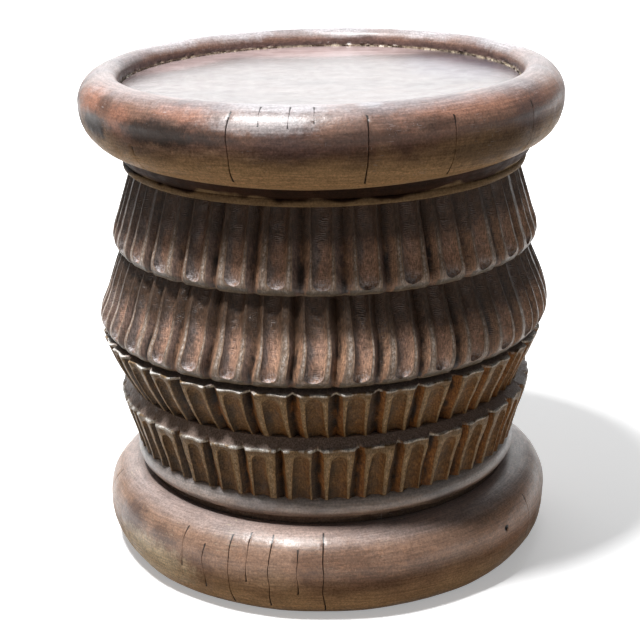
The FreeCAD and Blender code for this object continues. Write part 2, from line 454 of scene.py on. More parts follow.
@dataclass(frozen=True)
class PolishedWood:
    """Old polished hardwood: mottled patina, streaks round the ring, scratches and pores, with painted
    sheen, highlights and shade in its colour.

    Attributes:
        name: Name of the material.
        body: Its usual tone.
        deep: The tone of its darker clouds.
        warm: The tone of its copper clouds.
        worn: The tone where it is rubbed or scratched; the pale spots also use it for painted
            highlights.
        smoke_and_shade: The tone of its near-black patches, also used for painted shade.
        low_tone: The tone towards its lower edge.
        low: Heights in millimetres between which it turns to that tone.
        warm_spots: Where it is copper.
        smoke_and_shade_spots: Where it is near black: smoke marks, and on the rim and board also
            painted shade.
        pale_and_highlight_spots: Where it is rubbed pale, and where highlights and reflections are
            painted on as pale spots.
        shine: Least and most roughness.
        coat: Strength of the polish coat.
        coat_haze: Roughness of the polish coat.
        rubbed: Heights in millimetres between which hands have polished it.
        top_sheen: Tone of the painted sheen on top, a highlight laid into the colour.
        top_sheen_height: Height in millimetres where the painted sheen is full.
        top_sheen_strength: Strength of the painted sheen.
        torn: Height in millimetres up to which the wall of the recess is torn, or 0 for none.
        wall: Radii in millimetres, outside and inside of the wall of the recess.
        fibre: Tone of the torn fibres there.
        split: Tone inside its drying checks.
        shift: Where its patterns start.
    """

    name: str
    body: Tone
    deep: Tone
    warm: Tone
    worn: Tone
    smoke_and_shade: Tone
    low_tone: Tone
    low: Point = (0.0, 1.0)
    warm_spots: tuple[Spot, ...] = ()
    smoke_and_shade_spots: tuple[Spot, ...] = ()
    pale_and_highlight_spots: tuple[Spot, ...] = ()
    shine: Point = (0.34, 0.5)
    coat: float = 0.5
    coat_haze: float = 0.38
    rubbed: Point = (-1.0, 0.0)
    top_sheen: Tone = (214, 212, 214)
    top_sheen_height: float = 9999.0
    top_sheen_strength: float = 0.6
    torn: float = 0.0
    wall: Point = (216.0, 209.0)
    fibre: Tone = (214, 198, 170)
    split: Tone = (20, 14, 11)
    shift: float = 0.0

    def patina(self, sheet: NodeSheet) -> Socket:
        """Clouds of tone, from the large ones down to the specks.

        Args:
            sheet: The material's nodes.

        Returns:
            The colour.
        """
        ring = sheet.ring_place()
        large = sheet.mottle(70, 3.0, along=(1.3, 1.3, 0.8), shift=self.shift, twist=0.4)
        small = sheet.mottle(11, 4.0, along=(1.4, 1.4, 0.8), shift=self.shift + 3, rough=0.65)
        streak = sheet.mottle(2.2, 3.0, shift=self.shift + 5, source=ring, rough=0.6)
        ragged = sheet.mottle(9, 6.0, shift=self.shift + 8, rough=0.78)
        colour = sheet.mix(sheet.fade(large, 0.42, 0.68), self.body, self.deep)
        colour = sheet.mix(sheet.fade(small, 0.50, 0.80, 0.0, 0.55), colour, self.warm)
        # Towards the lower edge the colour turns to the low tone: on the rim this is painted bounce
        # light from the floor, on the foot collar painted shade in the groove under the bead.
        drop = sheet.swing(large, 50 * MM, sheet.height())
        low, high = self.low
        colour = sheet.mix(sheet.fade(drop, high * MM, low * MM, 0.0, 0.85), colour, self.low_tone)
        colour = self.spotted(sheet, colour, ragged, self.warm)
        # Painted sheen: the top of the ring is laid paler, as the highlight its polish shows there.
        top = self.top_sheen_height * MM
        uneven = 12 * MM
        top_sheen = sheet.fade(
            sheet.swing(small, uneven, sheet.height()), top - uneven, top, 0.0, self.top_sheen_strength)
        colour = sheet.mix(top_sheen, colour, self.top_sheen)
        if self.torn:
            colour = self.torn_wall(sheet, colour)
        speck = sheet.mottle(2.2, 4.0, shift=self.shift + 9, rough=0.75)
        colour = sheet.lighten(colour, sheet.fade(speck, 0.32, 0.68, 0.72, 1.30))
        return sheet.lighten(colour, sheet.fade(streak, 0.30, 0.70, 0.80, 1.22))

    def spotted(self, sheet: NodeSheet, colour: Socket, ragged: Socket, warm: Tone) -> Socket:
        """Lays the spots on: the warm ones, then the dark ones, which also carry painted shade, then
        the pale ones, which also carry painted highlights.

        Args:
            sheet: The material's nodes.
            colour: The colour under them.
            ragged: The noise that makes their edges uneven.
            warm: Tone of the warm spots.

        Returns:
            The colour with the spots.
        """
        for spots, tone in (
            (self.warm_spots, warm), (self.smoke_and_shade_spots, self.smoke_and_shade), (self.pale_and_highlight_spots, self.worn),
        ):
            for spot in spots:
                colour = sheet.mix(sheet.spot(spot, ragged), colour, tone)
        return colour

    def torn_wall(self, sheet: NodeSheet, colour: Socket) -> Socket:
        """Torn fibres and dark gaps along the foot of the recess wall.

        Args:
            sheet: The material's nodes.
            colour: The colour of the wall.

        Returns:
            The colour with the fibres.
        """
        inside = sheet.fade(sheet.radius(), self.wall[0] * MM, self.wall[1] * MM)
        fibre = sheet.mottle(3.0, 4.0, along=(1, 1, 0.6), shift=self.shift + 33, rough=0.8)
        rise = sheet.swing(fibre, 12 * MM, sheet.height())
        wall = sheet.fade(rise, (self.torn + 10) * MM, (self.torn + 2) * MM)
        colour = sheet.mix(sheet.times(inside, wall), colour, self.deep)
        foot = sheet.times(inside, sheet.fade(rise, (self.torn + 2) * MM, (self.torn - 1) * MM))
        colour = sheet.mix(sheet.times(foot, sheet.fade(fibre, 0.44, 0.50)), colour, self.fibre)
        return sheet.mix(sheet.times(foot, sheet.fade(fibre, 0.44, 0.38)), colour, self.smoke_and_shade)

    def scratches(self, sheet: NodeSheet) -> Socket:
        """Fine rubbed lines in patches, running both ways.

        Args:
            sheet: The material's nodes.

        Returns:
            A mask that is 1 on the lines.
        """
        patch = sheet.fade(sheet.mottle(38, 2.0, shift=self.shift + 12), 0.48, 0.66)
        first = sheet.mottle(0.7, 1.0, along=(14, 14, 1), shift=self.shift + 14)
        last = sheet.mottle(0.8, 1.0, along=(1, 1, 11), shift=self.shift + 17)
        lines = sheet.calc("MAXIMUM", sheet.fade(first, 0.68, 0.74), sheet.fade(last, 0.69, 0.75))
        return sheet.times(patch, lines)

    def relief(self, sheet: NodeSheet, scratches: Socket) -> Socket:
        """Tool marks, pores and scratches.

        Args:
            sheet: The material's nodes.
            scratches: The mask of the scratches.

        Returns:
            The bent normal.
        """
        dents = sheet.mottle(6.5, 2.0, shift=self.shift + 21)
        pores = sheet.mottle(0.9, 2.0, along=(1, 1, 3), shift=self.shift + 23)
        normal = sheet.bump(dents, 0.55)
        normal = sheet.bump(sheet.fade(pores, 0.34, 0.46), 0.10, normal)
        return sheet.bump(scratches, 0.08, normal)

    def material(self) -> bpy.types.Material:
        """Makes the material.

        Returns:
            The material.
        """
        sheet = NodeSheet(self.name)
        colour = self.patina(sheet)
        scratches = self.scratches(sheet)
        colour = sheet.mix(sheet.times(scratches, 0.55), colour, self.worn)
        colour = sheet.mix(sheet.fade(sheet.mark("carve"), 0.15, 0.8), colour, self.split)
        gloss = sheet.mottle(16, 3.0, shift=self.shift + 30)
        dull, glossy = (part * MM for part in self.rubbed)
        rise = sheet.height()
        return sheet.dress({
            "Base Color": colour,
            "Roughness": sheet.fade(gloss, 0.30, 0.70, *self.shine),
            "Specular IOR Level": sheet.fade(rise, dull, glossy, 0.03, 0.5),
            "Coat Weight": sheet.fade(rise, dull, glossy, 0.0, self.coat),
            "Coat Roughness": self.coat_haze,
            "Normal": self.relief(sheet, scratches),
        })


@dataclass(frozen=True)
class BoardWood(PolishedWood):
    """The sunk board: glossy, with long wavy streaks from side to side."""

    def patina(self, sheet: NodeSheet) -> Socket:
        """Streaks along X over broad clouds.

        Args:
            sheet: The material's nodes.

        Returns:
            The colour.
        """
        large = sheet.mottle(60, 3.0, along=(2.6, 1, 1), shift=self.shift, twist=0.8)
        figure = sheet.mottle(7, 5.0, along=(12, 1, 1), shift=self.shift + 3, rough=0.65, twist=0.4)
        fine = sheet.mottle(2.4, 4.0, along=(16, 1, 1), shift=self.shift + 5, rough=0.7)
        colour = sheet.mix(sheet.fade(large, 0.40, 0.66), self.body, self.deep)
        colour = sheet.mix(sheet.fade(figure, 0.46, 0.70, 0.0, 0.6), colour, self.warm)
        colour = self.spotted(sheet, colour, figure, self.low_tone)
        colour = sheet.lighten(colour, sheet.fade(figure, 0.32, 0.68, 0.84, 1.16))
        return sheet.lighten(colour, sheet.fade(fine, 0.32, 0.68, 0.82, 1.20))

    def relief(self, sheet: NodeSheet, scratches: Socket) -> Socket:
        """Grain, and slow waves left by the plane.

        Args:
            sheet: The material's nodes.
            scratches: Not used; the scratches are too shallow to show here.

        Returns:
            The bent normal.
        """
        waves = sheet.mottle(30, 1.0, along=(3, 1, 1), shift=self.shift + 21)
        grain = sheet.mottle(1.4, 3.0, along=(16, 1, 1), shift=self.shift + 23)
        normal = sheet.bump(waves, 0.5)
        return sheet.bump(grain, 0.12, normal)


@dataclass(frozen=True)
class FlutedWood:
    """Waxed carved hardwood: dark in the cuts, orange on the V flanks, pale where hands rub, with
    painted light and shade on flanks, ends, lip and open end.

    Attributes:
        name: Name of the material.
        land: Tone of the lands between the cuts.
        floor: Tone of the gouge floors.
        shaded_flank: Tone of their left flanks, painted in shade.
        lit_flank: Tone of their right flanks, painted as lit, and of warmer patches.
        vee: Tone of the right flanks of the V cuts, partly their copper colour and partly painted
            light.
        shaded_vee_flank: Tone of the left flanks of the V cuts, painted in shade.
        speck_and_crease_shade: The near-black tone of dark clouds and specks, and of the painted shade
            in the roots of the V cuts.
        worn: Tone of the rubbed edges.
        end: Tone of the painted highlight on the round ends of the gouge cuts.
        hem: Tone of the band between those ends and the lip.
        lip: Tone of the worn line along the lip, painted pale also as a highlight on its edge.
        ledge: Tone of the ledge behind the lip.
        shade: Tone of the painted shade at the open end.
        shade_strength: How strong that painted shade is, from 0 to 1.
        shade_reach: Distances from the lip in millimetres where the painted shade starts and is full.
        end_highlight_reach: The same for the painted highlight on the round ends, which run towards the
            lip.
        hem_reach: The same for the hem.
        rub_reach: The same for the rubbed edges.
        shine: Least and most roughness.
        gloss: Specular level.
        shift: Where its patterns start.
    """

    name: str
    land: Tone
    floor: Tone
    shaded_flank: Tone
    lit_flank: Tone
    vee: Tone
    shaded_vee_flank: Tone
    speck_and_crease_shade: Tone
    worn: Tone
    end: Tone
    hem: Tone
    lip: Tone
    ledge: Tone
    shade: Tone
    shade_strength: float = 0.5
    shade_reach: Point = (34.0, 58.0)
    end_highlight_reach: Point = (19.0, 8.0)
    hem_reach: Point = (7.0, 4.5)
    rub_reach: Point = (3.0, 9.0)
    shine: Point = (0.32, 0.56)
    gloss: float = 0.4
    shift: float = 0.0

    def patina(self, sheet: NodeSheet) -> Socket:
        """Tones by how deep a point is cut and what cut it lies in.

        Args:
            sheet: The material's nodes.

        Returns:
            The colour.
        """
        carve, vee, wear, across, along = (sheet.mark(name) for name in MARKS)
        large = sheet.mottle(30, 3.0, along=(1, 1, 1.6), shift=self.shift, rough=0.6)
        fibre = sheet.mottle(1.2, 4.0, along=(1, 1, 9), shift=self.shift + 4, rough=0.7)
        rough = sheet.mottle(3.2, 4.0, shift=self.shift + 7, rough=0.75)
        patch = sheet.mottle(13, 3.0, along=(1, 1, 1.8), shift=self.shift + 9, rough=0.6)
        swayed = sheet.swing(patch, 2.4, across)
        swell = sheet.swing(patch, 30.0, along)
        # Painted light and shade: each gouge floor is darker and cooler on its left flank and lighter
        # and warmer on its right, as if lit from the left.
        floor = sheet.mix(sheet.fade(swayed, -0.1, -0.9, 0.0, 0.85), self.floor, self.shaded_flank)
        floor = sheet.mix(sheet.fade(swayed, 0.1, 0.9, 0.0, 0.85), floor, self.lit_flank)
        # The V cuts likewise: painted shade on the left flank, copper with painted light on the right.
        flank = sheet.mix(sheet.fade(swayed, -0.5, 0.5), self.shaded_vee_flank, self.vee)
        # Along the root of each V cut the colour goes near black: torn pits, with painted shade in the
        # crease.
        root = sheet.fade(sheet.calc("ABSOLUTE", across), 0.62, 0.22)
        root = sheet.times(root, sheet.fade(patch, 0.34, 0.66, 1.0, 0.3))
        flank = sheet.mix(root, flank, self.speck_and_crease_shade)
        colour = sheet.mix(sheet.fade(vee, 0.3, 0.7), floor, flank)
        colour = sheet.mix(sheet.fade(large, 0.50, 0.72, 0.0, 0.5), colour, self.speck_and_crease_shade)
        colour = sheet.mix(sheet.fade(rough, 0.54, 0.72, 0.0, 0.7), colour, self.speck_and_crease_shade)
        # Painted highlight: the round ends of the gouge cuts are laid paler.
        ends = sheet.times(sheet.fade(along, *self.end_highlight_reach), sheet.fade(vee, 0.5, 0.1))
        ends = sheet.times(ends, sheet.fade(rough, 0.60, 0.40))
        colour = sheet.mix(sheet.times(ends, 0.8), colour, self.end)
        face = sheet.fade(carve, 0.30, 0.03)
        colour = sheet.mix(sheet.times(face, sheet.fade(large, 0.25, 0.5, 0.8, 1.0)), colour, self.land)
        band = sheet.times(sheet.fade(along, *self.hem_reach), sheet.fade(carve, 0.7, 0.3))
        colour = sheet.mix(band, colour, self.hem)
        rubbed = sheet.times(sheet.fade(wear, 0.2, 0.9), sheet.fade(rough, 0.62, 0.42))
        rubbed = sheet.times(rubbed, sheet.fade(along, *self.rub_reach, 0.25, 0.85))
        colour = sheet.mix(rubbed, colour, self.worn)
        # Painted shade: darker towards the open end, where the next part above or below shades the
        # tier.
        colour = sheet.mix(sheet.fade(swell, *self.shade_reach, 0.0, self.shade_strength), colour, self.shade)
        colour = sheet.mix(sheet.fade(along, -1.0, -1.8), colour, self.ledge)
        # The pale line along the lip is partly wear and partly a painted highlight on its edge.
        line = sheet.times(sheet.fade(along, 1.5, 0.3), sheet.fade(along, -1.9, -1.0))
        colour = sheet.mix(sheet.times(line, sheet.fade(patch, 0.62, 0.44)), colour, self.lip)
        colour = sheet.lighten(colour, sheet.fade(rough, 0.30, 0.56, 1.30, 0.86))
        return sheet.lighten(colour, sheet.fade(fibre, 0.30, 0.70, 0.52, 1.55))

    def relief(self, sheet: NodeSheet) -> Socket:
        """Chatter marks across the gouge floors, torn V roots and fibres.

        Args:
            sheet: The material's nodes.

        Returns:
            The bent normal.
        """
        carve, vee = sheet.mark("carve"), sheet.mark("vee")
        along, across = sheet.mark("along"), sheet.mark("across")
        waver = sheet.mottle(9, 2.0, shift=self.shift + 11)
        bow = sheet.times(sheet.times(across, across), 2.6)
        travel = sheet.calc("ADD", sheet.calc("ADD", along, bow), sheet.times(waver, 7.0))
        chatter = sheet.calc("SINE", sheet.times(travel, 3.4))
        chatter = sheet.times(chatter, sheet.fade(carve, 0.1, 0.7))
        chatter = sheet.times(chatter, sheet.fade(waver, 0.35, 0.6, 0.2, 1.0))
        torn = sheet.mottle(1.6, 3.0, along=(1, 1, 2.2), shift=self.shift + 13, rough=0.7)
        torn = sheet.times(torn, sheet.fade(vee, 0.2, 0.9, 0.25, 1.0))
        fibre = sheet.mottle(0.9, 3.0, along=(1, 1, 10), shift=self.shift + 15)
        normal = sheet.bump(chatter, 0.13)
        normal = sheet.bump(torn, 0.6, normal)
        return sheet.bump(fibre, 0.18, normal)

    def material(self) -> bpy.types.Material:
        """Makes the material.

        Returns:
            The material.
        """
        sheet = NodeSheet(self.name)
        gloss = sheet.mottle(7, 3.0, shift=self.shift + 30, rough=0.65)
        return sheet.dress({
            "Base Color": self.patina(sheet),
            "Roughness": sheet.fade(gloss, 0.30, 0.70, *self.shine),
            "Specular IOR Level": self.gloss,
            "Normal": self.relief(sheet),
        })


@dataclass(frozen=True)
class SawnWood:
    """Bare sawn hardwood, for the staves and pegs inside.

    Attributes:
        name: Name of the material.
        body: Its usual tone.
        dark: The tone of its darker grain.
    """

    name: str = "bare_sawn_wood"
    body: Tone = (150, 112, 80)
    dark: Tone = (104, 72, 48)

    def material(self) -> bpy.types.Material:
        """Makes the material: grain up and down, and saw marks across it.

        Returns:
            The material.
        """
        sheet = NodeSheet(self.name)
        figure = sheet.mottle(12, 4.0, along=(1, 1, 12), twist=0.3)
        fine = sheet.mottle(1.4, 3.0, along=(1, 1, 20), shift=4)
        saw = sheet.mottle(2.4, 2.0, along=(20, 20, 1), shift=8)
        colour = sheet.mix(sheet.fade(figure, 0.38, 0.66), self.body, self.dark)
        colour = sheet.lighten(colour, sheet.fade(fine, 0.30, 0.70, 0.80, 1.15))
        return sheet.dress({
            "Base Color": colour,
            "Roughness": sheet.fade(fine, 0.30, 0.70, 0.60, 0.80),
            "Normal": sheet.bump(saw, 0.25, sheet.bump(fine, 0.2)),
        })


RIM_FINISH = PolishedWood(
    "rim_patina_and_painted_light", body=(134, 102, 86), deep=(98, 76, 70), warm=(160, 114, 94), worn=(208, 204, 206),
    # low_tone over the low heights is painted bounce light from the floor on the underside; bloom is a
    # painted sheen on the crest.
    smoke_and_shade=(56, 44, 38), low_tone=(204, 174, 138), low=(456.0, 486.0), coat=0.5, rubbed=(476.0, 502.0),
    top_sheen=(190, 192, 200), top_sheen_height=516.0, top_sheen_strength=0.35, torn=498.0, shift=1.0,
    warm_spots=(
        Spot(-66.0, 500.0, 240.0, 46.0, 16.0), Spot(-50.0, 492.0, 246.0, 24.0, 15.0),
        Spot(-32.0, 506.0, 238.0, 40.0, 8.0, strength=0.8),
        Spot(34.0, 506.0, 238.0, 90.0, 9.0, strength=0.6),
        Spot(70.0, 496.0, 244.0, 70.0, 16.0, strength=0.5),
    ),
    # Dark spots: partly the rim's near-black patina, partly painted shade along its dark middle band
    # and low on its right side.
    smoke_and_shade_spots=(
        Spot(42.0, 464.0, 246.0, 90.0, 18.0, strength=0.6), Spot(-62.0, 480.0, 249.0, 40.0, 14.0),
        Spot(-58.0, 503.0, 240.0, 16.0, 10.0, strength=0.6), Spot(-38.0, 487.0, 247.0, 60.0, 15.0),
        Spot(-24.0, 488.0, 247.0, 26.0, 9.0, strength=0.7),
        Spot(8.0, 490.0, 247.0, 50.0, 7.0, strength=0.5),
        Spot(24.0, 497.0, 245.0, 26.0, 8.0, strength=0.6),
    ),
    # Painted highlights on the front of the crest and painted reflections along its back, as pale
    # spots.
    pale_and_highlight_spots=(
        Spot(11.0, 514.0, 224.0, 13.0, 8.0, 8.0, strength=0.5),
        Spot(-13.0, 501.0, 243.0, 56.0, 9.0, strength=0.45),
        Spot(-10.0, 515.0, 222.0, 60.0, 9.0, 18.0, strength=0.55),
        *(
            Spot(turn, 512.0, 221.0, 66.0, 12.0, 16.0, strength=0.55)
            for turn in (115.0, 145.0, 175.0, 205.0, 230.0)
        ),
    ),
)
BOARD_FINISH = BoardWood(
    "board_patina_and_painted_light", body=(110, 98, 98), deep=(88, 78, 80), warm=(130, 112, 104), worn=(204, 180, 178),
    smoke_and_shade=(92, 88, 112), low_tone=(152, 130, 108), shine=(0.14, 0.26), coat=0.5, coat_haze=0.2,
    shift=41.0,
    warm_spots=(
        Spot(5.0, 497.0, 196.0, 110.0, 30.0, 18.0, strength=0.6),
        Spot(34.0, 497.0, 186.0, 60.0, 30.0, 14.0, strength=0.6),
    ),
    # Painted shade: a bluish darker patch on the right of the board.
    smoke_and_shade_spots=(Spot(110.0, 497.0, 150.0, 90.0, 30.0, 60.0, strength=0.5),),
    # Painted reflection: the pale band along the back of the board and the pale patch at its back left.
    pale_and_highlight_spots=(
        Spot(180.0, 497.0, 170.0, 150.0, 30.0, 46.0, strength=0.9),
        Spot(-128.0, 497.0, 184.0, 90.0, 30.0, 30.0, strength=0.6),
    ),
)
COLLAR_FINISH = PolishedWood(
    "collar_patina_and_painted_light", body=(166, 144, 130), deep=(104, 86, 76), warm=(166, 138, 118),
    # The dark low_tone is painted shade in the groove under the bead; bloom is a painted sheen on the
    # ledge on top.
    worn=(206, 200, 198), smoke_and_shade=(48, 38, 32), low_tone=(84, 70, 60), low=(93.0, 97.0),
    shine=(0.3, 0.46), rubbed=(96.0, 104.0),
    top_sheen=(196, 194, 196), top_sheen_height=115.0, top_sheen_strength=0.55, shift=61.0,
)
# The neck band is the collar wood made far darker than the foot collar: its own dark brown with painted
# shade from the rim above.
NECK_FINISH = PolishedWood(
    "neck_patina_and_painted_shade", body=(62, 42, 32), deep=(42, 29, 22), warm=(76, 52, 38), worn=(110, 88, 70),
    smoke_and_shade=(30, 22, 18), low_tone=(164, 142, 114), low=(424.0, 428.5), shine=(0.45, 0.62), coat=0.0,
    rubbed=(900.0, 901.0), shift=71.0,
)
BASE_FINISH = PolishedWood(
    "base_patina_and_painted_sheen", body=(160, 128, 108), deep=(128, 98, 80), warm=(182, 138, 108), worn=(222, 204, 176),
    smoke_and_shade=(84, 66, 60), low_tone=(188, 158, 124), low=(10.0, 56.0), rubbed=(38.0, 66.0),
    # bloom is a painted sheen round the top of the base.
    top_sheen=(176, 166, 166), top_sheen_height=86.0, top_sheen_strength=0.5, shift=91.0,
    smoke_and_shade_spots=(
        Spot(-60.0, 62.0, 236.0, 34.0, 18.0, strength=0.8),
        Spot(-46.0, 62.0, 236.0, 26.0, 13.0, strength=0.6),
    ),
    warm_spots=(
        Spot(28.0, 86.0, 210.0, 40.0, 12.0, 14.0, strength=0.7),
        Spot(-4.0, 86.0, 212.0, 70.0, 10.0, strength=0.5),
        Spot(58.0, 58.0, 236.0, 80.0, 30.0, strength=0.95),
    ),
    pale_and_highlight_spots=(Spot(-52.0, 30.0, 236.0, 76.0, 26.0),),
)
# In both carved finishes the flank tones, the pale ends and lip line, and the dark open end are painted
# light and shade.
CUP_FINISH = FlutedWood(
    "cup_carving", land=(168, 140, 104), floor=(126, 96, 64), shaded_flank=(76, 64, 50), lit_flank=(150, 108, 66),
    vee=(158, 106, 58), shaded_vee_flank=(78, 60, 42), speck_and_crease_shade=(38, 27, 18), worn=(184, 164, 136),
    end=(136, 110, 80), hem=(140, 116, 86), lip=(236, 232, 226), ledge=(150, 132, 122),
    shade=(46, 34, 24), shade_strength=0.2, gloss=0.14, shift=111.0,
)
SKIRT_FINISH = FlutedWood(
    "skirt_carving", land=(154, 130, 112), floor=(176, 140, 120), shaded_flank=(114, 106, 104),
    lit_flank=(188, 150, 126), vee=(172, 134, 108), shaded_vee_flank=(122, 100, 90), speck_and_crease_shade=(40, 28, 21),
    worn=(190, 180, 172), end=(180, 176, 178), hem=(96, 82, 64), lip=(128, 112, 94), ledge=(60, 48, 38),
    shade=(64, 46, 32), shade_strength=0.9, gloss=0.4, shift=131.0,
)
BARE_FINISH = SawnWood()


def finish_material(finish: PolishedWood | FlutedWood | SawnWood) -> bpy.types.Material:
    """The finish's material, which is made only once."""
    return bpy.data.materials.get(finish.name) or finish.material()


BODY_WANDER = FairCurve((
    (88.0, -2.5, 0.0),
    (118.0, -3.6, 0.0),
    (145.0, -3.0, 0.0),
    (168.0, -1.6, 0.0),
    (205.0, -4.8, 0.0),
    (245.0, -4.2, 0.05),
    (286.0, 1.2, 0.0),
    (320.0, 0.3, 0.0),
    (352.0, 1.0, 0.0),
    (395.0, 1.6, 0.0),
    (440.0, 3.0, 0.0),
))


@dataclass(frozen=True)
class Check:
    """A drying check: a hairline split that runs up and down the wood.

    Attributes:
        azimuth: Degrees from the front, positive towards +X.
        low: Lowest height in millimetres.
        high: Highest height in millimetres.
        gape: Width of the mouth in millimetres.
        depth: Depth in millimetres.
        sway: How far it wanders sideways in millimetres.
        wiggle: How far its fine wander goes besides, in millimetres.
        spread: How many steps of the ring on each side bend with it.
    """

    azimuth: float
    low: float
    high: float
    gape: float = 0.7
    depth: float = 1.6
    sway: float = 2.0
    wiggle: float = 0.35
    spread: int = 8

    def angle(self) -> float:
        """Angle round the axis in radians, from +X."""
        return FRONT + math.radians(self.azimuth)


@dataclass
class Corner:
    """One corner of a spun ring while it is being carved, in millimetres and radians.

    Attributes:
        column: Which step of the spin it belongs to.
        angle: Its angle round the axis, from +X.
        radius: Its distance from the axis.
        height: Its height above the floor.
        carve: How deep it is cut, from 0 to 1.
        vee: Whether it lies in a V cut, from 0 to 1.
        wear: How much it is rubbed, from 0 to 1.
        across: Where it lies across its cut, from -1 to 1.
        along: How far it lies from the lip, negative on the ledge behind it.
    """

    column: int
    angle: float
    radius: float
    height: float
    carve: float = 0.0
    vee: float = 0.0
    wear: float = 0.0
    across: float = 0.0
    along: float = 0.0


MARKS = ("carve", "vee", "wear", "across", "along")


@dataclass
class SpunRing:
    """A ring of the table: an outline spun round the axis and then carved by hand.

    Attributes:
        node: Name of the CAD node that it stands for.
        slot: Its material slot in the record.
        finish: How its surface looks.
        seed: Where its own unevenness starts.
        roughing: Height of the slow waves of its surface, in millimetres.
        dents: Height of the small facets and dents, in millimetres.
        checks: Its drying checks.
        columns: How many steps the outline is spun in.
        skin: Radius outside which its checks open, in millimetres.
        wave_size: Size of the slow waves, in millimetres.
        dent_size: Size of the small facets and dents, in millimetres.
        rough_start: How far outside the bore the unevenness grows to its full strength.
    """

    node: str
    slot: Slot
    finish: PolishedWood | FlutedWood
    seed: float
    roughing: float = 0.5
    dents: float = 0.15
    checks: tuple[Check, ...] = ()
    columns: int = TURN_STEPS
    skin: float = INNER_SKIN
    wave_size: float = 55.0
    dent_size: float = 9.0
    rough_start: float = 12.0

    def outline(self) -> list[Point]:
        """The closed half-section, in millimetres."""
        raise NotImplementedError

    def heights(self) -> Point:
        """Lowest and highest height of its CAD node, in millimetres."""
        low, high = (corner.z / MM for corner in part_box(self.node))
        return low, high

    def wander(self, height: float) -> float:
        """How far the carver let the body drift along X at a height, in millimetres."""
        return BODY_WANDER.radius(height)

    def carve(self, corner: Corner) -> None:
        """Moves one corner; a plain ring has nothing to cut."""

    def spin(self) -> bmesh.types.BMesh:
        """Spins the outline into a closed ring.

        Returns:
            The ring, in metres, with one float layer for each mark.
        """
        bm = bmesh.new()
        for mark in MARKS:
            bm.verts.layers.float.new(mark)
        corners = [bm.verts.new((radius * MM, 0.0, height * MM)) for radius, height in self.outline()]
        edges = [bm.edges.new(pair) for pair in zip(corners, corners[1:] + corners[:1])]
        sectors = self.columns // PAIR_STEPS
        bmesh.ops.spin(
            bm, geom=corners + edges, cent=(0, 0, 0), axis=(0, 0, 1), dvec=(0, 0, 0),
            angle=2 * math.pi / sectors, steps=PAIR_STEPS, use_merge=False, use_duplicate=False,
        )
        sector = [*bm.verts, *bm.edges, *bm.faces]
        for index in range(1, sectors):
            copy = bmesh.ops.duplicate(bm, geom=sector)["geom"]
            turned = [part for part in copy if isinstance(part, bmesh.types.BMVert)]
            turn = Matrix.Rotation(2 * math.pi * index / sectors, 3, "Z")
            bmesh.ops.rotate(bm, matrix=turn, verts=turned)
        bmesh.ops.remove_doubles(bm, verts=bm.verts, dist=MERGE_DISTANCE)
        bmesh.ops.delete(bm, geom=[edge for edge in bm.edges if not edge.link_faces], context="EDGES")
        return bm

    def open_checks(self, corner: Corner) -> None:
        """Args:
            corner: The corner, whose angle, radius and marks may change.
        """
        step = 2 * math.pi / self.columns
        for check in self.checks:
            if not check.low < corner.height < check.high or corner.radius < self.skin:
                continue
            home = round(check.angle() / step)
            offset = (corner.column - home + self.columns // 2) % self.columns - self.columns // 2
            if abs(offset) > check.spread:
                continue
            middle = (check.high + check.low) / 2
            reach = (check.high - check.low) / 2
            taper = 1 - abs((corner.height - middle) / reach) ** 3
            drift = check.sway * noise.noise(Vector((home, corner.height * 0.045, self.seed)))
            drift += check.wiggle * noise.noise(Vector((home, corner.height * 0.4, self.seed)))
            corner.angle += drift / corner.radius * ease(1.15 - abs(offset) / check.spread)
            if abs(offset) == 1:
                squeezed = check.gape / 2 / corner.radius
                corner.angle += (offset * squeezed - offset * step) * taper
            if offset == 0:
                corner.radius -= check.depth * taper
                corner.carve = 1.0
                corner.vee = 0.0

    def settle(self, corner: Corner) -> Vector:
        """Adds the surface's unevenness and the body's drift.

        Args:
            corner: A carved corner.

        Returns:
            Its place in metres.
        """
        outwards = Vector((math.cos(corner.angle), math.sin(corner.angle), 0.0))
        place = corner.radius * outwards + Vector((0.0, 0.0, corner.height))
        skin = ease((corner.radius - INNER_SKIN) / self.rough_start)
        if skin > 0:
            offset = Vector((self.seed, self.seed, self.seed))
            swell = self.roughing * noise.noise(place / self.wave_size + offset)
            swell += self.dents * noise.noise(place / self.dent_size + offset)
            place += swell * skin * outwards
            place.x += self.wander(corner.height) * skin
        return place * MM

    def build(self) -> bpy.types.Object:
        """Makes the piece and lets it stand for its node.

        Returns:
            The finished object.
        """
        bm = self.spin()
        layers = {mark: bm.verts.layers.float[mark] for mark in MARKS}
        for vert in bm.verts:
            angle = math.atan2(vert.co.y, vert.co.x) % (2 * math.pi)
            column = round(angle / (2 * math.pi) * self.columns) % self.columns
            corner = Corner(column, angle, math.hypot(vert.co.x, vert.co.y) / MM, vert.co.z / MM)
            self.carve(corner)
            self.open_checks(corner)
            vert.co = self.settle(corner)
            for mark in MARKS:
                vert[layers[mark]] = getattr(corner, mark)
        bmesh.ops.recalc_face_normals(bm, faces=bm.faces)
        for part in bm.faces:
            part.smooth = True
        for edge in bm.edges:
            edge.smooth = edge.calc_face_angle(0.0) < CREASE
        mesh = bpy.data.meshes.new(self.node + "_carved")
        bm.to_mesh(mesh)
        bm.free()
        mesh.materials.append(finish_material(self.finish))
        piece = bpy.data.objects.new(self.node + "_carved", mesh)
        bpy.context.scene.collection.objects.link(piece)
        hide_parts(self.node)
        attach(piece, "root")
        return piece


